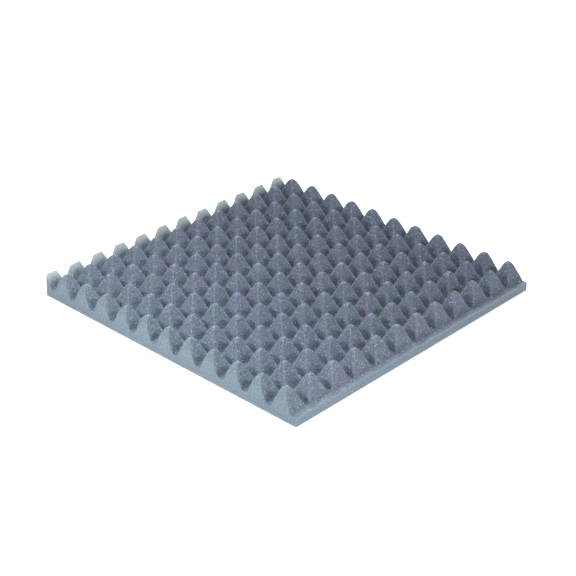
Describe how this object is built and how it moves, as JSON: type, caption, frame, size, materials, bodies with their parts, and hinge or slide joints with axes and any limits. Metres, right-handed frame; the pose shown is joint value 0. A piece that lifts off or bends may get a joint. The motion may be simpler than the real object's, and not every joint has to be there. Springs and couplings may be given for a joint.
{
  "type": "acoustic foam panel",
  "caption": "Square self-adhesive acoustic foam tile: a grid of rounded pyramids on a flat foam base, with an adhesive film and a peel-off paper liner on its back.",
  "frame": {"origin": "middle of the liner's underside, where the tile rests on a table or meets a wall", "axes": "+Z out of the back through the foam to the peaks, +X along the edge that runs beside a valley, +Y along the edge that cuts its pyramids halfway up, and towards the edge whose cut leans in"},
  "size_m": [0.5, 0.5, 0.0454],
  "materials": {
    "foam": "matte",
    "adhesive": "satin",
    "liner": "satin"
  },
  "bodies": {
    "root": {"foam_panel": "foam", "adhesive_film": "adhesive", "release_liner": "liner"}
  },
  "joints": []
}
